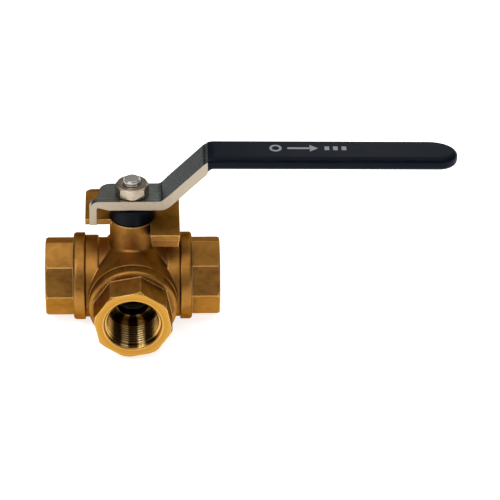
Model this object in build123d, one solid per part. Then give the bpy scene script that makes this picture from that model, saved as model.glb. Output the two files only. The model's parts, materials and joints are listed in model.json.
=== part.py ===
from build123d import *
import math
import os

# Three-way brass ball valve with an L-shaped passage and a side lever.
# Frame: the origin is the centre of the ball, where the three port axes cross.
# +X is the right port and the lever grip at rest, -Y is the front port, +Z runs up the stem.
# Lengths are in millimetres, angles in degrees.

# Ports and end connectors, measured outward from the ball centre along each port axis
PORT_REACH = 41.5
OCTAGON_FLATS = 34.9
OCTAGON_FACE_RADIUS = 18.0
OCTAGON_CHAMFER = 1.2
OCTAGON_TURN = {"left": 0.6, "right": -2.1, "front": -11.0}
FLANGE_START = 22.6
FLANGE_END = 28.2
FLANGE_RADIUS = 20.9
FLANGE_EDGE = 1.5
FLANGE_BACK_EDGE = 0.5
THREAD_ROOT_RADIUS = 13.22
THREAD_MOUTH_RADIUS = 13.95
THREAD_SHOULDER = 22.0
PASSAGE_RADIUS = 8.1
SPIGOT_START = 14.6
SPIGOT_STEP = 16.1
SPIGOT_NOSE_RADIUS = 14.4
SPIGOT_RADIUS = 15.9
ORING_GROOVE_START = 20.4
ORING_GROOVE_RADIUS = 14.7

# Body casting
RUN_RADIUS = 18.5
COLLAR_RADIUS = 19.7
COLLAR_START = 16.2
COLLAR_END = 22.4
BOSS_RADIUS = 21.2
BOSS_CHAMFER = 0.3
REAR_BOSS_RADIUS = 15.8
REAR_BOSS_END = 20.8
RUN_BORE_RADIUS = 14.6
FRONT_BORE_RADIUS = 14.5
SPIGOT_BORE_RADIUS = 15.95
NECK_RADIUS = 10.8
NECK_TOP = 35.0
NECK_FILLET = 1.5

# Stop plate on top of the neck
PLATE_HALF_WIDTH = 22.3
PLATE_BACK = 22.3
PLATE_THICKNESS = 2.9
PLATE_EDGE_AT_REST = -4.2
LUG_FRONT = -18.4
LUG_EDGE_AT_OPEN = 8.5
LUG_DEPTH = 6.8
LUG_DRAFT = 7.0

# Ball and seats
BALL_RADIUS = 14.0
BALL_PASSAGE_RADIUS = 7.5
SLOT_FLOOR = 10.6
SLOT_WIDTH = 5.3
SEAT_FACE = 10.9
SEAT_NOSE_RADIUS = 10.7
SEAT_RADIUS = 12.5
SEAT_HOLE_RADIUS = 7.75
SEAT_BACK = 16.55
SEAT_CLEARANCE = 0.05
SEAT_POCKET_RADIUS = 12.55
SEAT_POCKET_END = 16.6

# Stem, seals and gland
STEM_RADIUS = 5.0
STEM_BORE_RADIUS = 5.05
SHOULDER_RADIUS = 7.0
SHOULDER_BORE_RADIUS = 7.05
SHOULDER_BOTTOM = 14.9
SHOULDER_TOP = 18.7
SHOULDER_SEAT = 20.0
TONGUE_BOTTOM = 10.8
TONGUE_LENGTH = 11.0
TONGUE_WIDTH = 5.1
STEM_GROOVE_BOTTOM = 21.1
STEM_GROOVE_TOP = 23.0
STEM_GROOVE_RADIUS = 3.9
PACKING_CHAMBER_RADIUS = 7.5
PACKING_BOTTOM = 24.0
PACKING_RING_HEIGHT = 2.3
GLAND_THREAD_BOTTOM = 29.6
GLAND_THREAD_RADIUS = 8.3
GLAND_HEAD_RADIUS = 10.3
GLAND_HEAD_TOP = 41.8
GLAND_SEAT_RADIUS = 10.9
GLAND_SEAT = 34.3
FIT_GAP = 0.05

# Lever, grip and nut
LEVER_TOP = 47.2
SHEET = 3.4
LEVER_BENDS = (2.6, 4.5, 4.5)
HUB_WIDTH = 16.2
SLOPE_WIDTH = 17.7
LIP_DEPTH = 4.8
LIP_THICKNESS = 2.2
LIP_LEFT = -10.9
LIP_RUN_IN = 4.5
TAB_CENTRE_X = -18.4
TAB_BOTTOM = 34.3
TAB_INNER_Y = -4.5
SHOULDER_X = -15.5
SHOULDER_Y = 0.5
SHOULDER_ROUND = 5.5
SLOPE_START_X = 14.0
SLOPE_END_X = 35.65
SLOPE_END_HEIGHT = 67.9
GRIP_THICKNESS = 6.6
GRIP_START_X = 35.2
GRIP_END_X = 152.2
GRIP_END_HEIGHT = 66.8
GRIP_WIDTH = 17.6
GRIP_TIP_Y = -1.0
GRIP_TIP_BACK = 13.5
GRIP_TIP_FRONT = 9.0
GRIP_EDGE = 2.5
GRIP_BEND = 6.0
BAR_WIDTH = 14.0
BAR_END_X = 144.0
STEM_FLAT_HALF = 3.35
STEM_DOUBLE_D_RADIUS = 4.35
STEM_THREAD_RADIUS = 4.0
STEM_TOP = 55.4
NUT_SIDES = 8
NUT_FLATS = 14.8
NUT_HEIGHT = 5.4
NUT_FACE_RADIUS = 6.9
NUT_CHAMFER = 0.75

TO_RIGHT = Rotation(0, 90, 0)
TO_LEFT = Rotation(0, -90, 0)
TO_FRONT = Rotation(90, 0, 0)
TO_BACK = Rotation(-90, 0, 0)
DIRECTIONS = {"left": TO_LEFT, "right": TO_RIGHT, "front": TO_FRONT}


def turned(profile):
    """Solid of revolution about Z from (radius, height) points."""
    outline = Polyline(*[(radius, 0, height) for radius, height in profile], close=True)
    return revolve(make_face(outline), Axis.Z)


def rod(radius, low, high):
    """Cylinder on the Z axis between two heights."""
    return Pos(0, 0, (low + high) / 2) * Cylinder(radius, high - low)


def ring(outer, inner, low, high):
    """Flat ring on the Z axis between two heights."""
    return rod(outer, low, high) - rod(inner, low, high)


def edged_rod(radius, low, high, low_edge, high_edge):
    """Cylinder on the Z axis with its rims rounded."""
    blank = rod(radius, low, high)
    blank = fillet(blank.edges().sort_by(Axis.Z)[-1], high_edge)
    return fillet(blank.edges().sort_by(Axis.Z)[0], low_edge)


def block(x_low, x_high, y_low, y_high, z_low, z_high):
    """Box between two corners."""
    centre = Pos((x_low + x_high) / 2, (y_low + y_high) / 2, (z_low + z_high) / 2)
    return centre * Box(x_high - x_low, y_high - y_low, z_high - z_low)


def chamfered_prism(sides, flats, low, high, face_radius, chamfer, both_ends):
    """Regular prism whose corners are cut by a cone, as on a nut."""
    blank = Pos(0, 0, low) * extrude(RegularPolygon(flats / 2, sides, major_radius=False), high - low)
    rim = flats / 2 / math.cos(math.pi / sides) + 0.1
    foot = [(0, low), (face_radius, low), (rim, low + chamfer)] if both_ends else [(0, low), (rim, low)]
    return blank & turned(foot + [(rim, high - chamfer), (face_radius, high), (0, high)])


def end_connector():
    """Screwed-in port end along +Z: spigot, rounded flange, octagon and threaded socket."""
    spigot = rod(SPIGOT_NOSE_RADIUS, SPIGOT_START, SPIGOT_STEP + 0.1)
    spigot += rod(SPIGOT_RADIUS, SPIGOT_STEP, FLANGE_START + 0.1)
    spigot -= ring(SPIGOT_RADIUS + 1, ORING_GROOVE_RADIUS, ORING_GROOVE_START, FLANGE_START)
    flange = edged_rod(FLANGE_RADIUS, FLANGE_START, FLANGE_END, FLANGE_BACK_EDGE, FLANGE_EDGE)
    octagon = chamfered_prism(
        8, OCTAGON_FLATS, FLANGE_END - 1, PORT_REACH, OCTAGON_FACE_RADIUS, OCTAGON_CHAMFER, False
    )
    mouth_depth = THREAD_MOUTH_RADIUS - THREAD_ROOT_RADIUS
    socket = turned(
        [
            (0, SPIGOT_START - 1),
            (SEAT_POCKET_RADIUS, SPIGOT_START - 1),
            (SEAT_POCKET_RADIUS, SEAT_POCKET_END),
            (PASSAGE_RADIUS, SEAT_POCKET_END),
            (PASSAGE_RADIUS, THREAD_SHOULDER),
            (THREAD_ROOT_RADIUS, THREAD_SHOULDER),
            (THREAD_ROOT_RADIUS, PORT_REACH - mouth_depth),
            (THREAD_MOUTH_RADIUS, PORT_REACH),
            (THREAD_MOUTH_RADIUS, PORT_REACH + 1),
            (0, PORT_REACH + 1),
        ]
    )
    return spigot + flange + octagon - socket


def connector_oring():
    """Face seal between a connector's flange and the body."""
    blank = ring(SPIGOT_RADIUS, ORING_GROOVE_RADIUS + FIT_GAP, ORING_GROOVE_START + FIT_GAP, COLLAR_END)
    return fillet(blank.edges().filter_by(GeomType.CIRCLE), 0.45)


def seat():
    """Seat ring along +Z whose inner edge is a spherical land on the ball."""
    blank = turned(
        [
            (SEAT_HOLE_RADIUS, SEAT_FACE),
            (SEAT_NOSE_RADIUS, SEAT_FACE),
            (SEAT_RADIUS, SEAT_FACE + SEAT_RADIUS - SEAT_NOSE_RADIUS),
            (SEAT_RADIUS, SEAT_BACK),
            (SEAT_HOLE_RADIUS, SEAT_BACK),
        ]
    )
    return blank - Sphere(BALL_RADIUS + SEAT_CLEARANCE)


def stop_plate():
    """Notched plate on the neck: its two free edges stop the lever a quarter turn apart."""
    outline = Polyline(
        (-PLATE_HALF_WIDTH, PLATE_EDGE_AT_REST),
        (0, PLATE_EDGE_AT_REST),
        (LUG_EDGE_AT_OPEN, PLATE_EDGE_AT_REST),
        (LUG_EDGE_AT_OPEN, LUG_FRONT),
        (PLATE_HALF_WIDTH, LUG_FRONT),
        (PLATE_HALF_WIDTH, PLATE_BACK),
        (-PLATE_HALF_WIDTH, PLATE_BACK),
        close=True,
    )
    plate = Pos(0, 0, NECK_TOP - PLATE_THICKNESS) * extrude(make_face(outline), PLATE_THICKNESS)
    corners = plate.edges().filter_by(Axis.Z).filter_by(lambda edge: edge.center().Y > PLATE_BACK - 1)
    plate = fillet(corners, 3.5)
    corners = plate.edges().filter_by(Axis.Z).filter_by(lambda edge: edge.center().Y < LUG_FRONT + 1)
    plate = fillet(corners, 0.8)
    lug_length = PLATE_EDGE_AT_REST - LUG_FRONT
    lug_width = PLATE_HALF_WIDTH - LUG_EDGE_AT_OPEN
    lug_centre = Pos(LUG_EDGE_AT_OPEN + lug_width / 2, LUG_FRONT + lug_length / 2, NECK_TOP)
    lug = lug_centre * extrude(Rectangle(lug_width, lug_length), -LUG_DEPTH, taper=LUG_DRAFT)
    return plate + lug


def domed_boss():
    """Front boss along +Z that closes in a dome and a short plain cap behind."""
    dome_angle = math.acos(REAR_BOSS_RADIUS / BOSS_RADIUS)
    dome_end = -BOSS_RADIUS * math.sin(dome_angle)
    dome_middle = (BOSS_RADIUS * math.cos(dome_angle / 2), 0, -BOSS_RADIUS * math.sin(dome_angle / 2))
    outline = Polyline(
        (0, 0, COLLAR_END),
        (BOSS_RADIUS - BOSS_CHAMFER, 0, COLLAR_END),
        (BOSS_RADIUS, 0, COLLAR_END - BOSS_CHAMFER),
        (BOSS_RADIUS, 0, 0),
    )
    outline += ThreePointArc((BOSS_RADIUS, 0, 0), dome_middle, (REAR_BOSS_RADIUS, 0, dome_end))
    outline += Polyline(
        (REAR_BOSS_RADIUS, 0, dome_end),
        (REAR_BOSS_RADIUS, 0, -REAR_BOSS_END),
        (0, 0, -REAR_BOSS_END),
        (0, 0, COLLAR_END),
    )
    boss = revolve(make_face(outline), Axis.Z)
    return fillet(boss.edges().sort_by(Axis.Z)[0], 2.5)


def body_outside():
    """Forged outline: run barrel, front boss, domed back and neck."""
    run = TO_RIGHT * rod(RUN_RADIUS, -COLLAR_START - 1, COLLAR_START + 1)
    shape = run + TO_FRONT * domed_boss()
    for side in (TO_LEFT, TO_RIGHT):
        collar = rod(COLLAR_RADIUS, COLLAR_START, COLLAR_END)
        collar = fillet(collar.edges().sort_by(Axis.Z)[0], 0.6)
        shape += side * collar
    shape += rod(NECK_RADIUS, 0, NECK_TOP)
    return fillet(neck_foot(shape), NECK_FILLET)


def neck_foot(shape):
    """Curved edges where the neck grows out of the run barrel and the boss."""
    foot = shape.edges().filter_by(lambda edge: 14 < edge.center().Z < 27)
    foot = foot.filter_by(lambda edge: abs(math.hypot((edge @ 0.5).X, (edge @ 0.5).Y) - NECK_RADIUS) < 0.01)
    return foot.filter_by(GeomType.LINE, reverse=True)


def valve_body():
    """One forging, bored for the ball, three connectors, the rear seat and the stem."""
    shape = body_outside() + stop_plate()
    shape -= TO_RIGHT * rod(RUN_BORE_RADIUS, -PORT_REACH, PORT_REACH)
    shape -= TO_FRONT * rod(FRONT_BORE_RADIUS, 0, PORT_REACH)
    for side in DIRECTIONS.values():
        shape -= side * rod(SPIGOT_BORE_RADIUS, SPIGOT_STEP - FIT_GAP, PORT_REACH)
    shape -= TO_BACK * rod(SEAT_POCKET_RADIUS, 0, SEAT_POCKET_END)
    shape -= TO_BACK * rod(PASSAGE_RADIUS, 0, SEAT_POCKET_END + 1)
    shape -= rod(SHOULDER_BORE_RADIUS, 0, SHOULDER_SEAT)
    shape -= rod(STEM_BORE_RADIUS, 0, NECK_TOP)
    shape -= rod(PACKING_CHAMBER_RADIUS, PACKING_BOTTOM, NECK_TOP)
    shape -= rod(GLAND_THREAD_RADIUS, GLAND_THREAD_BOTTOM, NECK_TOP + 1)
    shape -= rod(GLAND_SEAT_RADIUS, GLAND_SEAT, NECK_TOP + 1)
    return shape


def ball():
    """Ball with an L-shaped passage from the left port to the front port, and a stem slot."""
    shape = Sphere(BALL_RADIUS)
    for side in (TO_LEFT, TO_FRONT):
        shape -= side * rod(BALL_PASSAGE_RADIUS, 0, BALL_RADIUS + 1)
    shape -= Sphere(BALL_PASSAGE_RADIUS)
    half = SLOT_WIDTH / 2
    return shape - block(-BALL_RADIUS, BALL_RADIUS, -half, half, SLOT_FLOOR, BALL_RADIUS + 1)


def stem():
    """Blow-out-proof stem, pushed up from inside: tongue, shoulder, shank, flats and thread."""
    half_width = TONGUE_WIDTH / 2
    half_length = TONGUE_LENGTH / 2
    tongue = block(-half_length, half_length, -half_width, half_width, TONGUE_BOTTOM, SHOULDER_BOTTOM + 0.5)
    tongue &= rod(half_length, TONGUE_BOTTOM, SHOULDER_BOTTOM + 0.5)
    shoulder = rod(SHOULDER_RADIUS, SHOULDER_BOTTOM, SHOULDER_TOP)
    shoulder = chamfer(shoulder.edges().filter_by(GeomType.CIRCLE), 0.4)
    lever_seat = LEVER_TOP - SHEET
    shank = rod(STEM_RADIUS, SHOULDER_TOP - 0.2, lever_seat)
    shank -= ring(STEM_RADIUS + 1, STEM_GROOVE_RADIUS, STEM_GROOVE_BOTTOM, STEM_GROOVE_TOP)
    flats = rod(STEM_DOUBLE_D_RADIUS, lever_seat - 0.2, LEVER_TOP)
    flats &= block(-9, 9, -STEM_FLAT_HALF, STEM_FLAT_HALF, lever_seat - 1, LEVER_TOP)
    thread = rod(STEM_THREAD_RADIUS, LEVER_TOP, STEM_TOP)
    thread = chamfer(thread.edges().sort_by(Axis.Z)[-1], 0.8)
    return tongue + shoulder + shank + flats + thread


def stem_thrust_washer():
    """Low-friction ring between the stem shoulder and the body."""
    blank = ring(SHOULDER_RADIUS, STEM_BORE_RADIUS, SHOULDER_TOP + FIT_GAP, SHOULDER_SEAT - FIT_GAP)
    return chamfer(blank.edges().filter_by(GeomType.CIRCLE), 0.15)


def stem_oring():
    """Seal in the stem groove."""
    inner = STEM_GROOVE_RADIUS + FIT_GAP
    outer = STEM_BORE_RADIUS - 0.01
    low = STEM_GROOVE_BOTTOM + FIT_GAP
    high = STEM_GROOVE_TOP - FIT_GAP
    return fillet(ring(outer, inner, low, high).edges().filter_by(GeomType.CIRCLE), 0.5)


def packing_ring(index):
    """One of the stacked stem packing rings, with its rims relieved."""
    low = PACKING_BOTTOM + FIT_GAP + index * (PACKING_RING_HEIGHT + FIT_GAP)
    blank = ring(PACKING_CHAMBER_RADIUS - FIT_GAP, STEM_BORE_RADIUS, low, low + PACKING_RING_HEIGHT)
    return chamfer(blank.edges().filter_by(GeomType.CIRCLE), 0.25)


def packing_follower():
    """Metal ring that the gland nut presses onto the packing."""
    low = PACKING_BOTTOM + FIT_GAP + 2 * (PACKING_RING_HEIGHT + FIT_GAP)
    blank = ring(PACKING_CHAMBER_RADIUS - FIT_GAP, STEM_BORE_RADIUS + FIT_GAP, low, low + 1.8)
    return chamfer(blank.edges().filter_by(GeomType.CIRCLE), 0.2)


def gland_nut():
    """Round gland nut, screwed into the neck, with a broad head above the stop plate."""
    follower_top = PACKING_BOTTOM + FIT_GAP + 2 * (PACKING_RING_HEIGHT + FIT_GAP) + 1.8
    spigot = rod(GLAND_THREAD_RADIUS - FIT_GAP, follower_top + FIT_GAP, NECK_TOP + 1)
    head = edged_rod(GLAND_HEAD_RADIUS, GLAND_SEAT + FIT_GAP, GLAND_HEAD_TOP, 0.6, 1.0)
    return spigot + head - rod(STEM_BORE_RADIUS + FIT_GAP, 0, GLAND_HEAD_TOP + 1)


def side_strip(points, radii, thickness):
    """Constant-thickness strip in the XZ plane along a bent centre line."""
    line = FilletPolyline(*[(x, z) for x, z in points], radius=radii)
    return Plane.XZ * trace(line, thickness)


def across(face, y_low, y_high):
    """Push a face that lies in the XZ plane out to a solid between two Y values."""
    return Pos(0, y_high, 0) * extrude(face, y_high - y_low, dir=(0, -1, 0))


def slope_rate():
    """Rise per millimetre of the lever's sloping part."""
    return (SLOPE_END_HEIGHT - LEVER_TOP + SHEET / 2) / (SLOPE_END_X - SLOPE_START_X)


def grip_height(x):
    """Height of the grip's centre line, which drops a little towards its tip."""
    share = (x - SLOPE_END_X) / (GRIP_END_X - SLOPE_END_X)
    return SLOPE_END_HEIGHT + share * (GRIP_END_HEIGHT - SLOPE_END_HEIGHT)


def lever_line():
    """Corners of the sheet's centre line from the tab to the end of the bar."""
    flat = LEVER_TOP - SHEET / 2
    return [
        (TAB_CENTRE_X, TAB_BOTTOM),
        (TAB_CENTRE_X, flat),
        (SLOPE_START_X, flat),
        (SLOPE_END_X, SLOPE_END_HEIGHT),
        (BAR_END_X, grip_height(BAR_END_X)),
    ]


def long_side(inset, start):
    """Right-hand edge of the hub and slope from above, drawn in by a margin."""
    hub_half = HUB_WIDTH / 2 - inset
    slope_half = SLOPE_WIDTH / 2 - inset
    return [
        (start, -hub_half),
        (SLOPE_START_X - 2, -hub_half),
        (SLOPE_START_X + 4, -slope_half),
        (GRIP_START_X, -slope_half),
    ]


def hub_plan():
    """Outline from above of the tab, hub and slope."""
    tab_end = TAB_CENTRE_X - SHEET
    front = long_side(0, tab_end)
    back = [(x, -y) for x, y in reversed(long_side(0, SHOULDER_X))]
    tab = [(SHOULDER_X, SHOULDER_Y), (TAB_CENTRE_X + SHEET / 2, TAB_INNER_Y), (tab_end, TAB_INNER_Y)]
    plan = make_face(Polyline(*front, *back, *tab, close=True))
    corner = plan.vertices().sort_by_distance((SHOULDER_X, HUB_WIDTH / 2, 0))[0]
    return fillet(corner, SHOULDER_ROUND)


def channel_plan():
    """Outline from above of the hollow between the side lips."""
    front = long_side(LIP_THICKNESS, TAB_CENTRE_X)
    back = [(x, -y) for x, y in reversed(front)]
    return make_face(Polyline(*front, *back, close=True))


def bar_plan():
    """Outline from above of the bar inside the grip."""
    start = GRIP_START_X - 2
    plan = Pos((start + BAR_END_X) / 2, 0, 0) * Rectangle(BAR_END_X - start, BAR_WIDTH)
    return fillet(plan.vertices().group_by(Axis.X)[-1], 5)


def lever_lips():
    """Side lips pressed down along the hub and the slope, running out towards the tab."""
    depth = LIP_DEPTH - SHEET / 2
    flat = LEVER_TOP - SHEET / 2 - depth / 2
    corner_x = SLOPE_START_X + depth / 2 * math.tan(math.atan(slope_rate()) / 2)
    length = SLOPE_END_X - SLOPE_START_X
    line = [
        (LIP_LEFT - LIP_RUN_IN, flat + LIP_DEPTH - SHEET),
        (LIP_LEFT, flat),
        (corner_x, flat),
        (corner_x + length, flat + length * slope_rate()),
    ]
    side = side_strip(line, (3, LEVER_BENDS[1] + depth / 2), depth)
    lips = across(side, -SLOPE_WIDTH, SLOPE_WIDTH) & extrude(hub_plan(), SLOPE_END_HEIGHT)
    return lips - extrude(channel_plan(), SLOPE_END_HEIGHT)


def handle_lever():
    """Bent steel strip with a stop tab, side lips and a bar inside the grip."""
    sheet = across(side_strip(lever_line(), LEVER_BENDS, SHEET), -SLOPE_WIDTH, SLOPE_WIDTH)
    sheet &= extrude(hub_plan() + bar_plan(), SLOPE_END_HEIGHT + GRIP_THICKNESS)
    under = LEVER_TOP - SHEET
    hole = rod(STEM_DOUBLE_D_RADIUS + FIT_GAP, under - 1, LEVER_TOP + 1)
    flat = STEM_FLAT_HALF + FIT_GAP
    return sheet + lever_lips() - (hole & block(-9, 9, -flat, flat, under - 1, LEVER_TOP + 1))


def grip_plan(start):
    """Outline from above of the sleeve, with a tip drawn out further at the back."""
    half = GRIP_WIDTH / 2
    back_x = GRIP_END_X - GRIP_TIP_BACK
    front_x = GRIP_END_X - GRIP_TIP_FRONT
    outline = Polyline((back_x, half), (start, half), (start, -half), (front_x, -half))
    outline += EllipticalCenterArc((front_x, GRIP_TIP_Y), GRIP_TIP_FRONT, half + GRIP_TIP_Y, 270, arc_size=90)
    outline += EllipticalCenterArc((back_x, GRIP_TIP_Y), GRIP_TIP_BACK, half - GRIP_TIP_Y, 0, arc_size=90)
    return make_face(outline)


def grip_envelope():
    """Outer shape of the vinyl sleeve, rounded along its length and cut square at the slope."""
    start = GRIP_START_X - 8
    path = [
        (start, SLOPE_END_HEIGHT - (SLOPE_END_X - start) * slope_rate()),
        (SLOPE_END_X, SLOPE_END_HEIGHT),
        (GRIP_END_X + 1, grip_height(GRIP_END_X + 1)),
    ]
    side = side_strip(path, GRIP_BEND, GRIP_THICKNESS)
    sleeve = across(side, -GRIP_WIDTH, GRIP_WIDTH) & extrude(grip_plan(start + 3), 2 * SLOPE_END_HEIGHT)
    rims = sleeve.edges().filter_by(lambda edge: edge.center().X > start + 3.1)
    sleeve = fillet(rims.filter_by(Axis.Z, reverse=True), GRIP_EDGE)
    return sleeve & block(GRIP_START_X, GRIP_END_X + 1, -GRIP_WIDTH, GRIP_WIDTH, 0, 2 * SLOPE_END_HEIGHT)


def handle_grip():
    """Vinyl sleeve closely covering the bar."""
    return grip_envelope() - handle_lever()


def handle_nut():
    """Eight-sided nut that clamps the lever to the stem."""
    top = LEVER_TOP + NUT_HEIGHT
    prism = chamfered_prism(NUT_SIDES, NUT_FLATS, LEVER_TOP, top, NUT_FACE_RADIUS, NUT_CHAMFER, True)
    hole = rod(STEM_THREAD_RADIUS + 0.02, LEVER_TOP - 1, top + 1)
    mouth = turned([(0, top - 0.5), (STEM_THREAD_RADIUS, top - 0.5), (STEM_THREAD_RADIUS + 0.7, top), (0, top)])
    return prism - hole - mouth


def all_parts():
    """Every sub-part by node name, in its place."""
    parts = {"valve_body": valve_body()}
    for name, direction in DIRECTIONS.items():
        turn = Rotation(0, 0, OCTAGON_TURN[name])
        parts["end_connector_" + name] = direction * (turn * end_connector())
        parts["connector_oring_" + name] = direction * connector_oring()
        parts["seat_" + name] = direction * seat()
    parts["seat_back"] = TO_BACK * seat()
    parts["ball"] = ball()
    parts["stem"] = stem()
    parts["stem_thrust_washer"] = stem_thrust_washer()
    parts["stem_oring"] = stem_oring()
    parts["packing_ring_lower"] = packing_ring(0)
    parts["packing_ring_upper"] = packing_ring(1)
    parts["packing_follower"] = packing_follower()
    parts["gland_nut"] = gland_nut()
    parts["handle_lever"] = handle_lever()
    parts["handle_grip"] = handle_grip()
    parts["handle_nut"] = handle_nut()
    return parts


os.makedirs("parts", exist_ok=True)
for node, shape in all_parts().items():
    export_step(shape, "parts/" + node + ".step")
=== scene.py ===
import json
import math

import bpy
from mathutils import Matrix, Vector


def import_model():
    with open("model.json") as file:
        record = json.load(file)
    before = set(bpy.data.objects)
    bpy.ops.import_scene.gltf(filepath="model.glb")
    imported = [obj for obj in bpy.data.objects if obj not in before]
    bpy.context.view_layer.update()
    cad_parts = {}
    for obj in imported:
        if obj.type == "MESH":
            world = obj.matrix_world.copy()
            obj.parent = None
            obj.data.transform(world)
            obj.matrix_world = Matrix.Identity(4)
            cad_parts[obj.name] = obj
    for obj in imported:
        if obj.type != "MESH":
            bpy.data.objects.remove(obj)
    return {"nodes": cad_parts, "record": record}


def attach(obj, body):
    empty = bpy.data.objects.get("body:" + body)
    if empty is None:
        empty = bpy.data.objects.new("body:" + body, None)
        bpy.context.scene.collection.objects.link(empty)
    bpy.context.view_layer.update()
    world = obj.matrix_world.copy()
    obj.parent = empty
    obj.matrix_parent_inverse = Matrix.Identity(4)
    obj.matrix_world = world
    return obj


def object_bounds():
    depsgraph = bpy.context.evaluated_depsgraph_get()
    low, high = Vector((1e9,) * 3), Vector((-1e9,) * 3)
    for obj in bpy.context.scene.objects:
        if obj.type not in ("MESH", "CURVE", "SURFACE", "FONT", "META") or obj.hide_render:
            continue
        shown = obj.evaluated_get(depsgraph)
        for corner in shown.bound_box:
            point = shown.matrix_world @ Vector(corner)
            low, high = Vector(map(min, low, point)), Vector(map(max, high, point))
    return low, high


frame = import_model()
cad_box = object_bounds()

MM = 0.001
UP = Vector((0, 0, 1))

# Port axes, pointing out of the valve, and the sizes of the threaded sockets, in millimetres
PORTS = {"left": Vector((-1, 0, 0)), "right": Vector((1, 0, 0)), "front": Vector((0, -1, 0))}
THREAD_ROOT = 13.22
THREAD_CREST = 12.1
THREAD_PITCH = 1.814
THREAD_START = 23.4
THREAD_END = 40.7
PORT_FACE = 41.5

# Stem: the height where its thread starts, the thread's pitch, and the plain middle of its end face
STEM_THREAD_FOOT = 47.2
STEM_THREAD_PITCH = 1.25
STEM_PLAIN_RADIUS = 3.2

# Where the polished outside of the ball gives way to its passage
BALL_SKIN_RADIUS = 13.9

# Printed marks on the grip: places along the lever from the stem, and the line they are centred on
MARKS_MIDDLE_Y = 1.0
RING_AT = 67.0
RING_RADIUS = 2.3
ARROW_SHAFT_AT = 78.0
ARROW_HEAD_START = 83.0
DASHES_AT = (91.0, 95.0, 99.0)

# Floor: half its side in metres, its glow in the open and in shade, and the shade's place and edges
FLOOR_HALF = 3.0
FLOOR_GLOW = 0.78
FLOOR_GLOW_IN_SHADE = 0.05
SHADE_MIDDLE_Y = 18.0
SHADE_EDGES_X = (28.0, 44.0)
SHADE_EDGES_Y = (8.0, 24.0)

# Samples of the bevel and ambient occlusion nodes
NODE_SAMPLES = 6

NODE_SLOTS = {item["node"]: item["material_slot"] for item in frame["record"]["subparts"]}


# ---------------------------------------------------------------- material building blocks


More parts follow.
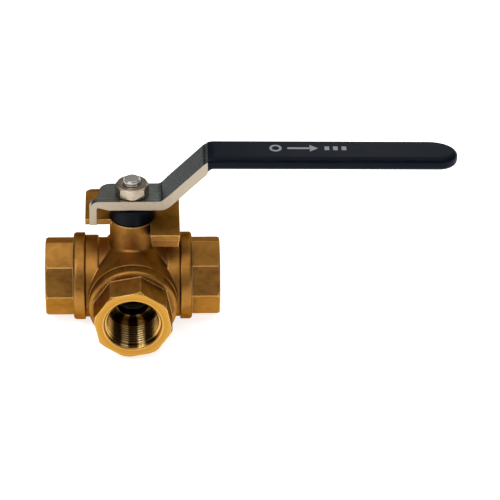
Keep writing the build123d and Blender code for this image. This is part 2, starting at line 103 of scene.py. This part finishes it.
class Recipe:
    """A node material in the making. Coordinates are the part's own, in millimetres."""

    def __init__(self, name):
        self.material = bpy.data.materials.new(name)
        self.material.use_nodes = True
        self.tree = self.material.node_tree
        self.shader = self.tree.nodes["Principled BSDF"]
        place = self.add("ShaderNodeTexCoord").outputs["Object"]
        self.place = self.vector("SCALE", place, Scale=1 / MM)
        parts = self.add("ShaderNodeSeparateXYZ", Vector=self.place)
        self.x, self.y, self.z = parts.outputs

    def add(self, kind, settings=None, **inputs):
        node = self.tree.nodes.new(kind)
        for key, value in (settings or {}).items():
            setattr(node, key, value)
        for key, value in inputs.items():
            self.feed(node.inputs[key.replace("_", " ")], value)
        return node

    def feed(self, socket, value):
        if isinstance(value, bpy.types.NodeSocket):
            self.tree.links.new(value, socket)
        else:
            socket.default_value = value

    def sum(self, kind, *values, clamp=False):
        """One Math node."""
        node = self.add("ShaderNodeMath", {"operation": kind, "use_clamp": clamp})
        for socket, value in zip(node.inputs, values):
            self.feed(socket, value)
        return node.outputs[0]

    def vector(self, kind, *values, **inputs):
        """One Vector Math node."""
        node = self.add("ShaderNodeVectorMath", {"operation": kind}, **inputs)
        for socket, value in zip(node.inputs, values):
            self.feed(socket, value)
        return node.outputs["Value" if kind in ("DOT_PRODUCT", "LENGTH") else "Vector"]

    def step(self, value, low, high, out_low=0.0, out_high=1.0):
        """Smooth step from out_low to out_high as value goes from low to high."""
        node = self.add("ShaderNodeMapRange", {"interpolation_type": "SMOOTHSTEP"})
        for socket, number in zip(node.inputs, (value, low, high, out_low, out_high)):
            self.feed(socket, number)
        return node.outputs[0]

    def stretched(self, sx, sy, sz):
        """The place, scaled on each axis, for grain that runs one way."""
        return self.vector("MULTIPLY", self.place, (sx, sy, sz))

    def noise(self, per_mm, detail=3.0, rough=0.55, where=None, warp=0.0):
        node = self.add(
            "ShaderNodeTexNoise",
            Vector=where or self.place,
            Scale=per_mm,
            Detail=detail,
            Roughness=rough,
            Distortion=warp,
        )
        return node.outputs["Fac"]

    def blend(self, share, first, second, kind="MIX"):
        """Colour mix."""
        node = self.add("ShaderNodeMix", {"data_type": "RGBA", "blend_type": kind})
        for socket, value in zip((node.inputs[0], node.inputs[6], node.inputs[7]), (share, first, second)):
            self.feed(socket, value)
        return node.outputs[2]

    def ramp(self, value, *stops):
        """Colour ramp from (position, colour) stops."""
        node = self.add("ShaderNodeValToRGB", Fac=value)
        elements = node.color_ramp.elements
        while len(elements) < len(stops):
            elements.new(0.5)
        for element, (position, colour) in zip(elements, stops):
            element.position = position
            element.color = colour
        return node.outputs["Color"]

    def normal(self):
        """The surface's own normal in the part's frame."""
        geometry = self.add("ShaderNodeNewGeometry").outputs["Normal"]
        node = self.add(
            "ShaderNodeVectorTransform",
            {"vector_type": "NORMAL", "convert_from": "WORLD", "convert_to": "OBJECT"},
            Vector=geometry,
        )
        return node.outputs[0]

    def place_of(self, x, y):
        """A made-up place, for noise in other coordinates."""
        return self.add("ShaderNodeCombineXYZ", X=x, Y=y).outputs[0]

    def edges(self, radius_mm, gain):
        """Rounded normal, and a mask that is 1 along edges."""
        settings = {"samples": NODE_SAMPLES}
        rounded = self.add("ShaderNodeBevel", settings, Radius=radius_mm * MM).outputs[0]
        true = self.add("ShaderNodeNewGeometry").outputs["Normal"]
        turn = self.sum("SUBTRACT", 1.0, self.vector("DOT_PRODUCT", rounded, true))
        return rounded, self.sum("MULTIPLY", turn, gain, clamp=True)

    def shade(self, reach_mm):
        """How open the surface is to its surroundings: 0 in corners, 1 in the open."""
        settings = {"samples": NODE_SAMPLES}
        return self.add("ShaderNodeAmbientOcclusion", settings, Distance=reach_mm * MM).outputs["AO"]

    def bump(self, height, strength, depth_mm, normal=None):
        node = self.add("ShaderNodeBump", Height=height, Strength=strength, Distance=depth_mm * MM)
        if normal is not None:
            self.feed(node.inputs["Normal"], normal)
        return node.outputs[0]

    def finish(self, colour, roughness, normal, **constants):
        self.feed(self.shader.inputs["Base Color"], colour)
        self.feed(self.shader.inputs["Roughness"], roughness)
        self.feed(self.shader.inputs["Normal"], normal)
        for key, value in constants.items():
            self.shader.inputs[key.replace("_", " ")].default_value = value
        return self.material


def tint(red, green, blue):
    return (red, green, blue, 1.0)


# ---------------------------------------------------------------- brass

BRASS_DARK = tint(0.035, 0.018, 0.009)
BRASS_DEEP = tint(0.16, 0.068, 0.016)
BRASS_MID = tint(0.29, 0.130, 0.027)
BRASS_WARM = tint(0.38, 0.180, 0.038)
BRASS_GRAZING = tint(0.45, 0.30, 0.14)
BRASS_BRIGHT = tint(0.80, 0.50, 0.20)
BRASS_FACED = (tint(0.36, 0.175, 0.026), tint(0.50, 0.255, 0.042))


def forged_brass():
    """Blasted forging: fine grain, uneven tarnish, painted shade in corners, and edges lightened as rubbed
    wear and painted highlight, except at barrel ends.
    """
    m = Recipe("forged_brass")
    cloud = m.noise(0.09, 4, 0.6, warp=0.6)
    grain = m.noise(2.6, 3, 0.7)
    pits = m.noise(0.9, 5, 0.75)
    colour = m.ramp(cloud, (0.3, BRASS_DEEP), (0.5, BRASS_MID), (0.72, BRASS_WARM))
    colour = m.blend(m.step(grain, 0.35, 0.7, 0.0, 0.35), colour, BRASS_WARM)
    # Edges lighter: partly rubbed wear, partly painted highlight; left out at the barrel ends.
    rounded, edge_wear_and_highlight = m.edges(0.8, 9.0)
    reach = m.sum("MAXIMUM", m.sum("ABSOLUTE", m.x), m.sum("ABSOLUTE", m.y))
    barrel_end = m.sum("MULTIPLY", m.step(reach, 19.0, 20.5), m.step(m.z, 22.0, 24.0, 1.0, 0.0))
    worn_and_highlit = m.sum("MULTIPLY", edge_wear_and_highlight, m.sum("SUBTRACT", 0.8, m.sum("MULTIPLY", barrel_end, 0.8)))
    colour = m.blend(worn_and_highlit, colour, BRASS_BRIGHT)
    # Painted shade: corners and creases darkened by ambient occlusion.
    shade = m.shade(5)
    colour = m.blend(m.step(shade, 0.25, 0.75, 0.75, 0.0), colour, BRASS_DARK)
    roughness = m.step(pits, 0.3, 0.7, 0.42, 0.56)
    normal = m.bump(grain, 0.35, 0.05, m.bump(pits, 0.4, 0.10, rounded))
    return m.finish(colour, roughness, normal, Metallic=1.0, Specular_Tint=BRASS_GRAZING)


def turned_brass(name, axis):
    """Drawn octagon bar with a faced end; its bore carries painted lengthwise reflections and painted
    shade deep inside, its edges painted highlight and wear, its crevices painted shade.
    """
    m = Recipe(name)
    along = m.vector("DOT_PRODUCT", m.place, tuple(axis))
    off_axis = m.vector("SUBTRACT", m.place, m.vector("SCALE", tuple(axis), Scale=along))
    radius = m.vector("LENGTH", off_axis)
    faced = m.step(along, PORT_FACE - 0.25, PORT_FACE - 0.1)
    bored = m.step(radius, THREAD_ROOT + 0.05, THREAD_ROOT + 0.25, 1.0, 0.0)
    machined = m.sum("MAXIMUM", faced, bored)
    rings = m.place_of(m.sum("MULTIPLY", radius, 5.0), m.sum("MULTIPLY", along, 3.2))
    tool = m.noise(1.0, 2, 0.6, where=rings)
    slow_run = m.vector("SCALE", tuple(axis), Scale=m.sum("MULTIPLY", along, -0.12))
    drawn_place = m.vector("SUBTRACT", m.vector("SCALE", off_axis, Scale=2.4), slow_run)
    drawn = m.noise(1.0, 3, 0.65, where=drawn_place)
    cloud = m.noise(0.11, 4, 0.6, warp=0.5)
    colour = m.ramp(cloud, (0.3, BRASS_DEEP), (0.5, BRASS_MID), (0.72, BRASS_WARM))
    colour = m.blend(m.step(drawn, 0.35, 0.7, 0.0, 0.4), colour, BRASS_WARM)
    fresh = m.blend(m.step(tool, 0.35, 0.65), *BRASS_FACED)
    colour = m.blend(machined, colour, fresh)
    sideways = m.vector("DOT_PRODUCT", off_axis, tuple(axis.cross(UP)))
    from_below = m.sum("ABSOLUTE", m.sum("ARCTAN2", sideways, m.sum("MULTIPLY", m.z, -1.0)))
    # Painted reflections: light and dark lengthwise streaks in the bore, set by the angle around it.
    painted_bore_reflections = m.ramp(
        m.sum("DIVIDE", from_below, math.pi),
        (0.045, BRASS_DARK),
        (0.075, tint(0.85, 0.62, 0.28)),
        (0.12, tint(0.85, 0.60, 0.26)),
        (0.16, BRASS_DARK),
        (0.25, BRASS_DARK),
        (0.33, tint(0.62, 0.36, 0.10)),
    )
    colour = m.blend(m.sum("MULTIPLY", bored, 0.9), colour, painted_bore_reflections)
    # Painted shade deep in the bore.
    painted_bore_shade = m.sum("MULTIPLY", bored, m.step(along, 20.0, 23.0, 0.7, 0.0))
    colour = m.blend(painted_bore_shade, colour, BRASS_DARK)
    # Edges lighter outside the bore: partly wear, partly painted highlight.
    rounded, edge_wear_and_highlight = m.edges(0.8, 14.0)
    outer_edge_zone = m.sum("MULTIPLY", m.step(along, 25.0, 26.5, 0.0, 0.8), m.sum("SUBTRACT", 1.0, bored))
    worn_and_highlit = m.sum("MULTIPLY", edge_wear_and_highlight, outer_edge_zone)
    colour = m.blend(worn_and_highlit, colour, BRASS_BRIGHT)
    # Painted shade: crevices darkened by ambient occlusion.
    shade = m.shade(3)
    colour = m.blend(m.step(shade, 0.2, 0.75, 0.8, 0.0), colour, BRASS_DARK)
    drawn_roughness = m.step(drawn, 0.3, 0.7, 0.38, 0.50)
    cut_roughness = m.step(tool, 0.3, 0.7, 0.20, 0.30)
    roughness = m.step(machined, 0.0, 1.0, drawn_roughness, cut_roughness)
    height = m.add("ShaderNodeMix", {"data_type": "FLOAT"}, Factor=machined, A=drawn, B=tool).outputs[0]
    normal = m.bump(height, 0.3, 0.05, rounded)
    return m.finish(colour, roughness, normal, Metallic=1.0, Specular_Tint=BRASS_GRAZING)


# ---------------------------------------------------------------- steels


def zinc_strip():
    """Zinc-plated steel strip: rolling lines along the lever, rough sheared edges, painted shade on the
    slope.
    """
    m = Recipe("zinc_steel")
    rolled = m.noise(1.0, 4, 0.6, where=m.stretched(0.10, 2.4, 0.35))
    fine = m.noise(1.0, 3, 0.7, where=m.stretched(0.5, 9.0, 1.6))
    cloud = m.noise(0.14, 4, 0.6, warp=0.4)
    facing = m.add("ShaderNodeSeparateXYZ", Vector=m.normal()).outputs
    sheared = m.step(m.sum("ABSOLUTE", facing[1]), 0.55, 0.85)
    # Painted shade: faces turned towards -X, the lever's slope, are darkened.
    painted_slope_shade = m.step(facing[0], -0.62, -0.45, 1.0, 0.0)
    tear = m.noise(1.0, 3, 0.7, where=m.stretched(1.6, 1.0, 4.0))
    plate = m.ramp(
        cloud,
        (0.32, tint(0.16, 0.18, 0.18)),
        (0.55, tint(0.22, 0.23, 0.21)),
        (0.75, tint(0.27, 0.27, 0.24)),
    )
    plate = m.blend(m.step(rolled, 0.4, 0.65, 0.0, 0.35), plate, tint(0.30, 0.30, 0.28))
    plate = m.blend(painted_slope_shade, plate, tint(0.024, 0.031, 0.033))
    edge_colour = m.blend(m.step(tear, 0.35, 0.7), tint(0.36, 0.29, 0.21), tint(0.48, 0.43, 0.35))
    colour = m.blend(sheared, plate, edge_colour)
    # Edges lighter: partly wear, partly painted highlight.
    rounded, edge_wear_and_highlight = m.edges(0.35, 5.0)
    colour = m.blend(m.sum("MULTIPLY", edge_wear_and_highlight, 0.35), colour, tint(0.50, 0.47, 0.42))
    plate_roughness = m.step(rolled, 0.3, 0.7, 0.20, 0.34)
    edge_roughness = m.step(tear, 0.3, 0.7, 0.38, 0.5)
    roughness = m.step(sheared, 0.0, 1.0, plate_roughness, edge_roughness)
    height = m.add("ShaderNodeMix", {"data_type": "FLOAT"}, Factor=sheared, A=fine, B=tear).outputs[0]
    return m.finish(colour, roughness, m.bump(height, 0.22, 0.05, rounded), Metallic=1.0)


def bright_nut():
    """Plated nut: faint turning marks on top, and corners lightened as rubbed wear and painted highlight.
    """
    m = Recipe("nut_steel")
    radius = m.vector("LENGTH", m.vector("MULTIPLY", m.place, (1, 1, 0)))
    turning = m.place_of(m.sum("MULTIPLY", radius, 4.0), m.sum("MULTIPLY", m.z, 1.4))
    marks = m.noise(1.0, 2, 0.6, where=turning)
    cloud = m.noise(0.3, 3, 0.6)
    colour = m.ramp(cloud, (0.3, tint(0.30, 0.24, 0.17)), (0.7, tint(0.42, 0.35, 0.28)))
    # Corners lighter: partly wear, partly painted highlight.
    rounded, edge_wear_and_highlight = m.edges(0.3, 5.0)
    colour = m.blend(m.sum("MULTIPLY", edge_wear_and_highlight, 0.5), colour, tint(0.70, 0.64, 0.56))
    roughness = m.step(marks, 0.3, 0.7, 0.17, 0.30)
    return m.finish(colour, roughness, m.bump(marks, 0.25, 0.04, rounded), Metallic=1.0)


def stem_steel():
    """Turned, plated stem, with a helical thread on its top end."""
    m = Recipe("stem_nickel")
    angle = m.sum("DIVIDE", m.sum("ARCTAN2", m.y, m.x), 2 * math.pi)
    turns = m.sum("SUBTRACT", m.sum("DIVIDE", m.z, STEM_THREAD_PITCH), angle)
    tooth = m.sum("PINGPONG", turns, 0.5)
    radius = m.vector("LENGTH", m.vector("MULTIPLY", m.place, (1, 1, 0)))
    above_lever = m.step(m.z, STEM_THREAD_FOOT, STEM_THREAD_FOOT + 0.2)
    threaded = m.sum("MULTIPLY", above_lever, m.step(radius, STEM_PLAIN_RADIUS, STEM_PLAIN_RADIUS + 0.2))
    turning = m.place_of(m.sum("MULTIPLY", radius, 4.0), m.sum("MULTIPLY", m.z, 4.0))
    marks = m.noise(1.0, 2, 0.6, where=turning)
    height = m.sum("ADD", m.sum("MULTIPLY", marks, 0.06), m.sum("MULTIPLY", tooth, threaded))
    colour = m.blend(m.step(marks, 0.3, 0.7), tint(0.44, 0.42, 0.39), tint(0.62, 0.60, 0.57))
    # Edges lighter: partly wear, partly painted highlight.
    rounded, edge_wear_and_highlight = m.edges(0.3, 5.0)
    colour = m.blend(m.sum("MULTIPLY", edge_wear_and_highlight, 0.6), colour, tint(0.85, 0.83, 0.80))
    roughness = m.step(marks, 0.3, 0.7, 0.24, 0.36)
    return m.finish(colour, roughness, m.bump(height, 0.8, 0.5, rounded), Metallic=1.0)


def ball_chrome():
    """Hard-chromed ball with faint lapping swirls, and a rough passage painted near-black as painted
    shade.
    """
    m = Recipe("ball_chrome")
    swirl = m.noise(0.8, 4, 0.6, warp=1.5)
    colour = m.blend(swirl, tint(0.36, 0.36, 0.36), tint(0.45, 0.45, 0.45))
    # Painted shade: the passage inside the polished skin is coloured near-black, and it is also rougher.
    passage = m.step(m.vector("LENGTH", m.place), BALL_SKIN_RADIUS - 0.4, BALL_SKIN_RADIUS, 1.0, 0.0)
    colour = m.blend(m.sum("MULTIPLY", passage, 0.95), colour, tint(0.02, 0.02, 0.016))
    roughness = m.step(passage, 0.0, 1.0, m.step(swirl, 0.3, 0.7, 0.06, 0.14), 0.6)
    return m.finish(colour, roughness, m.bump(swirl, 0.05, 0.02), Metallic=1.0)


# ---------------------------------------------------------------- black parts and plastics


def gland_black():
    """Satin black finish over turned metal."""
    m = Recipe("gland_black")
    marks = m.noise(1.0, 2, 0.6, where=m.stretched(0.3, 0.3, 5.0))
    speck = m.noise(3.0, 3, 0.7)
    # Edges lighter: partly wear, partly painted highlight.
    rounded, edge_wear_and_highlight = m.edges(0.4, 4.0)
    colour = m.blend(m.step(speck, 0.4, 0.7), tint(0.0015, 0.0025, 0.0045), tint(0.004, 0.006, 0.010))
    colour = m.blend(m.sum("MULTIPLY", edge_wear_and_highlight, 0.3), colour, tint(0.012, 0.014, 0.018))
    roughness = m.step(marks, 0.3, 0.7, 0.30, 0.42)
    height = m.sum("ADD", marks, m.sum("MULTIPLY", speck, 0.5))
    return m.finish(colour, roughness, m.bump(height, 0.2, 0.04, rounded), Specular_IOR_Level=0.08)


def grip_marks(m):
    """Plain marks on the grip's top: a ring, an arrow and three dashes."""
    away = m.sum("SUBTRACT", m.y, MARKS_MIDDLE_Y)
    from_middle = m.sum("ABSOLUTE", away)

    def inside(value, half):
        return m.step(value, half - 0.12, half + 0.12, 1.0, 0.0)

    def along(centre, half):
        return inside(m.sum("ABSOLUTE", m.sum("SUBTRACT", m.x, centre)), half)

    across = m.sum("SUBTRACT", m.x, RING_AT)
    distance = m.sum("SQRT", m.sum("ADD", m.sum("POWER", across, 2.0), m.sum("POWER", away, 2.0)))
    ring = inside(m.sum("ABSOLUTE", m.sum("SUBTRACT", distance, RING_RADIUS)), 0.6)
    shaft = m.sum("MULTIPLY", along(ARROW_SHAFT_AT, 5.5), inside(from_middle, 0.75))
    taper = m.sum("ADD", from_middle, m.sum("MULTIPLY", m.sum("SUBTRACT", m.x, ARROW_HEAD_START), 0.75))
    head = m.sum("MULTIPLY", along(ARROW_HEAD_START + 2.0, 2.0), inside(taper, 2.9))
    marks = m.sum("MAXIMUM", ring, m.sum("MAXIMUM", shaft, head))
    for centre in DASHES_AT:
        dash = m.sum("MULTIPLY", along(centre, 1.1), inside(from_middle, 1.6))
        marks = m.sum("MAXIMUM", marks, dash)
    upward = m.step(m.add("ShaderNodeSeparateXYZ", Vector=m.normal()).outputs[2], 0.6, 0.8)
    return m.sum("MULTIPLY", marks, upward)


def grip_vinyl():
    """Dipped navy-black vinyl with a faint orange-peel skin and plain printed marks."""
    m = Recipe("grip_vinyl")
    peel = m.noise(0.55, 3, 0.5)
    fine = m.noise(4.0, 3, 0.6)
    scuff = m.noise(1.0, 4, 0.65, where=m.stretched(0.12, 1.1, 1.1), warp=0.3)
    # Edges lighter: partly wear, partly painted highlight.
    rounded, edge_wear_and_highlight = m.edges(0.5, 4.0)
    colour = m.blend(m.step(scuff, 0.35, 0.7), tint(0.0010, 0.0030, 0.0075), tint(0.0025, 0.0055, 0.0115))
    colour = m.blend(m.sum("MULTIPLY", edge_wear_and_highlight, 0.3), colour, tint(0.005, 0.009, 0.015))
    ink = m.step(m.noise(1.6, 3, 0.6), 0.25, 0.6, 0.45, 0.85)
    colour = m.blend(m.sum("MULTIPLY", grip_marks(m), ink), colour, tint(0.36, 0.36, 0.39))
    roughness = m.step(scuff, 0.3, 0.75, 0.30, 0.42)
    height = m.sum("ADD", peel, m.sum("MULTIPLY", fine, 0.12))
    return m.finish(colour, roughness, m.bump(height, 0.3, 0.08, rounded), Specular_IOR_Level=0.07)


def seat_plastic():
    """Turned PTFE, waxy white with a fine grain, with painted shade where it lies deep inside the valve.
    """
    m = Recipe("seat_plastic")
    grain = m.noise(6.0, 2, 0.6)
    colour = m.blend(grain, tint(0.80, 0.80, 0.77), tint(0.90, 0.90, 0.88))
    # Painted shade: enclosed parts darkened by ambient occlusion.
    shade = m.shade(20)
    colour = m.blend(m.step(shade, 0.1, 0.8, 0.98, 0.0), colour, tint(0.01, 0.01, 0.01))
    return m.finish(colour, m.step(grain, 0.3, 0.7, 0.35, 0.5), m.bump(grain, 0.15, 0.03))


def seal_rubber():
    """Moulded black rubber."""
    m = Recipe("seal_rubber")
    skin = m.noise(3.0, 3, 0.6)
    colour = m.blend(skin, tint(0.012, 0.012, 0.013), tint(0.03, 0.03, 0.03))
    return m.finish(colour, m.step(skin, 0.3, 0.7, 0.5, 0.7), m.bump(skin, 0.2, 0.04))


def dress(node, material):
    """Gives a CAD node its material."""
    obj = frame["nodes"][node]
    obj.data.materials.clear()
    obj.data.materials.append(material)


def dress_all():
    shared = {
        "forged_brass": forged_brass(),
        "seal_rubber": seal_rubber(),
        "seat_plastic": seat_plastic(),
        "ball_chrome": ball_chrome(),
        "stem_nickel": stem_steel(),
        "gland_black": gland_black(),
        "zinc_steel": zinc_strip(),
        "grip_vinyl": grip_vinyl(),
        "nut_steel": bright_nut(),
    }
    for node, slot in NODE_SLOTS.items():
        if slot in shared:
            dress(node, shared[slot])
    for name, axis in PORTS.items():
        dress("end_connector_" + name, turned_brass("port_brass_" + name, axis))
    dress("packing_follower", turned_brass("follower_brass", UP))


# ---------------------------------------------------------------- port threads


def thread_section(height):
    """Cross-section of one thread ridge, from its foot in the wall to its crest: (offset, radius)."""
    foot = THREAD_ROOT + 0.06
    crest = THREAD_ROOT - (THREAD_ROOT - THREAD_CREST) * height
    wide, narrow = 0.44 * THREAD_PITCH, 0.10 * THREAD_PITCH
    shoulder = crest + 0.12 * height
    return [
        (-wide, foot),
        (-narrow * 1.6, shoulder),
        (-narrow * 0.7, crest),
        (narrow * 0.7, crest),
        (narrow * 1.6, shoulder),
        (wide, foot),
    ]


def thread_ridge(name, axis):
    """Right-handed helical ridge that lines a port's socket, tapering out at both ends."""
    steps_per_turn = 72
    run_out_turns = 0.6
    turns = (THREAD_END - THREAD_START) / THREAD_PITCH - 0.9
    count = int(turns * steps_per_turn)
    across = axis.cross(UP)
    vertices, faces = [], []
    points = len(thread_section(1.0))
    for i in range(count + 1):
        turn = i / steps_per_turn
        angle = 2 * math.pi * turn
        ends = min(turn, count / steps_per_turn - turn) / run_out_turns
        height = 0.04 + 0.96 * math.sin(min(ends, 1.0) * math.pi / 2)
        outward = UP * math.cos(angle) + across * math.sin(angle)
        centre = THREAD_START + THREAD_PITCH * (turn + 0.45)
        for offset, radius in thread_section(height):
            vertices.append((axis * (centre + offset) + outward * radius) * MM)
    for i in range(count):
        a, b = i * points, (i + 1) * points
        for k in range(points):
            n = (k + 1) % points
            faces.append((a + k, a + n, b + n, b + k))
    faces.append(tuple(range(points))[::-1])
    faces.append(tuple(range(count * points, (count + 1) * points)))
    mesh = bpy.data.meshes.new("port_thread_" + name)
    mesh.from_pydata(vertices, [], faces)
    mesh.update()
    ridge = bpy.data.objects.new("port_thread_" + name, mesh)
    bpy.context.scene.collection.objects.link(ridge)
    mesh.materials.append(bpy.data.materials["port_brass_" + name])
    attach(ridge, "housing")


# ---------------------------------------------------------------- stage, light and camera


def floor():
    """Plain pale floor that glows, and glows least in a patch of shade under and behind the valve."""
    half = FLOOR_HALF
    level = cad_box[0].z
    mesh = bpy.data.meshes.new("floor")
    corners = [(-half, -half, level), (half, -half, level), (half, half, level), (-half, half, level)]
    mesh.from_pydata(corners, [], [(0, 1, 2, 3)])
    obj = bpy.data.objects.new("floor", mesh)
    bpy.context.scene.collection.objects.link(obj)
    m = Recipe("floor_paper")
    grain = m.noise(0.8, 2, 0.5)
    colour = m.blend(grain, tint(0.86, 0.86, 0.86), tint(0.88, 0.88, 0.88))
    mesh.materials.append(m.finish(colour, 0.9, m.bump(grain, 0.02, 0.02)))
    beside = m.step(m.sum("ABSOLUTE", m.x), *SHADE_EDGES_X, 1.0, 0.0)
    from_middle = m.sum("ABSOLUTE", m.sum("SUBTRACT", m.y, SHADE_MIDDLE_Y))
    behind = m.step(from_middle, *SHADE_EDGES_Y, 1.0, 0.0)
    glow = m.step(m.sum("MULTIPLY", beside, behind), 0.0, 1.0, FLOOR_GLOW, FLOOR_GLOW_IN_SHADE)
    m.feed(m.shader.inputs["Emission Strength"], glow)
    m.shader.inputs["Emission Color"].default_value = tint(1, 1, 1)


def area_light(name, place, target, width, height, watts):
    """White rectangular light that the camera itself does not see."""
    data = bpy.data.lights.new(name, "AREA")
    data.shape = "RECTANGLE"
    data.size, data.size_y = width, height
    data.energy = watts
    lamp = bpy.data.objects.new(name, data)
    lamp.location = place
    lamp.rotation_euler = (Vector(target) - Vector(place)).to_track_quat("-Z", "Y").to_euler()
    lamp.visible_camera = False
    bpy.context.scene.collection.objects.link(lamp)


def lights():
    area_light("key", (-0.36, -0.42, 0.66), (-0.05, 0, 0.02), 0.5, 0.4, 2.6)
    area_light("back_card", (0.15, 0.45, 0.37), (0.12, 0, 0.07), 0.16, 0.14, 0.12)
    area_light("right_card", (0.33, 0.46, 0.12), (0.0, -0.035, 0.015), 0.40, 0.24, 0.22)


def world():
    """Dim room, dark at the horizon and lighter overhead."""
    scene_world = bpy.data.worlds.new("studio")
    bpy.context.scene.world = scene_world
    scene_world.use_nodes = True
    tree = scene_world.node_tree
    direction = tree.nodes.new("ShaderNodeTexCoord").outputs["Generated"]
    parts = tree.nodes.new("ShaderNodeSeparateXYZ")
    ramp = tree.nodes.new("ShaderNodeValToRGB")
    tree.links.new(direction, parts.inputs[0])
    tree.links.new(parts.outputs[2], ramp.inputs[0])
    ramp.color_ramp.elements[0].color = (0.10, 0.11, 0.12, 1)
    ramp.color_ramp.elements[1].color = (1.7, 1.7, 1.65, 1)
    ramp.color_ramp.elements[1].position = 1.0
    middle = ramp.color_ramp.elements.new(0.6)
    middle.color = (0.24, 0.24, 0.23, 1)
    background = tree.nodes["Background"]
    tree.links.new(ramp.outputs[0], background.inputs[0])
    background.inputs[1].default_value = 1.0


# Angles in degrees, lengths in millimetres. The camera stands far off and a little to the left. It aims
# at a point under the lever, given across and up in its own view, and sees VIEW_WIDTH at that distance.
CAMERA_AZIMUTH = 2.734
CAMERA_ELEVATION = 34.145
CAMERA_ROLL = 1.172
CAMERA_DISTANCE = 1350
CAMERA_AIM = (56.2, 12.09)
VIEW_WIDTH = 239.84


def camera():
    """Long lens at the angles above."""
    azimuth, elevation, roll = (math.radians(a) for a in (CAMERA_AZIMUTH, CAMERA_ELEVATION, CAMERA_ROLL))
    back_x = -math.sin(azimuth) * math.cos(elevation)
    back_y = -math.cos(azimuth) * math.cos(elevation)
    back = Vector((back_x, back_y, math.sin(elevation)))
    right = Vector((math.cos(azimuth), -math.sin(azimuth), 0))
    up = back.cross(right)
    turned_right = right * math.cos(roll) + up * math.sin(roll)
    turned_up = up * math.cos(roll) - right * math.sin(roll)
    data = bpy.data.cameras.new("camera")
    data.sensor_width = 36
    data.lens = data.sensor_width * CAMERA_DISTANCE / VIEW_WIDTH
    data.clip_end = 20
    obj = bpy.data.objects.new("camera", data)
    place = (back * CAMERA_DISTANCE + turned_right * CAMERA_AIM[0] + turned_up * CAMERA_AIM[1]) * MM
    axes = Matrix((turned_right, turned_up, back)).transposed().to_4x4()
    obj.matrix_world = Matrix.Translation(place) @ axes
    bpy.context.scene.collection.objects.link(obj)
    bpy.context.scene.camera = obj


dress_all()
for port, port_axis in PORTS.items():
    thread_ridge(port, port_axis)
floor()
lights()
world()
camera()
bpy.context.scene.view_settings.view_transform = "Standard"
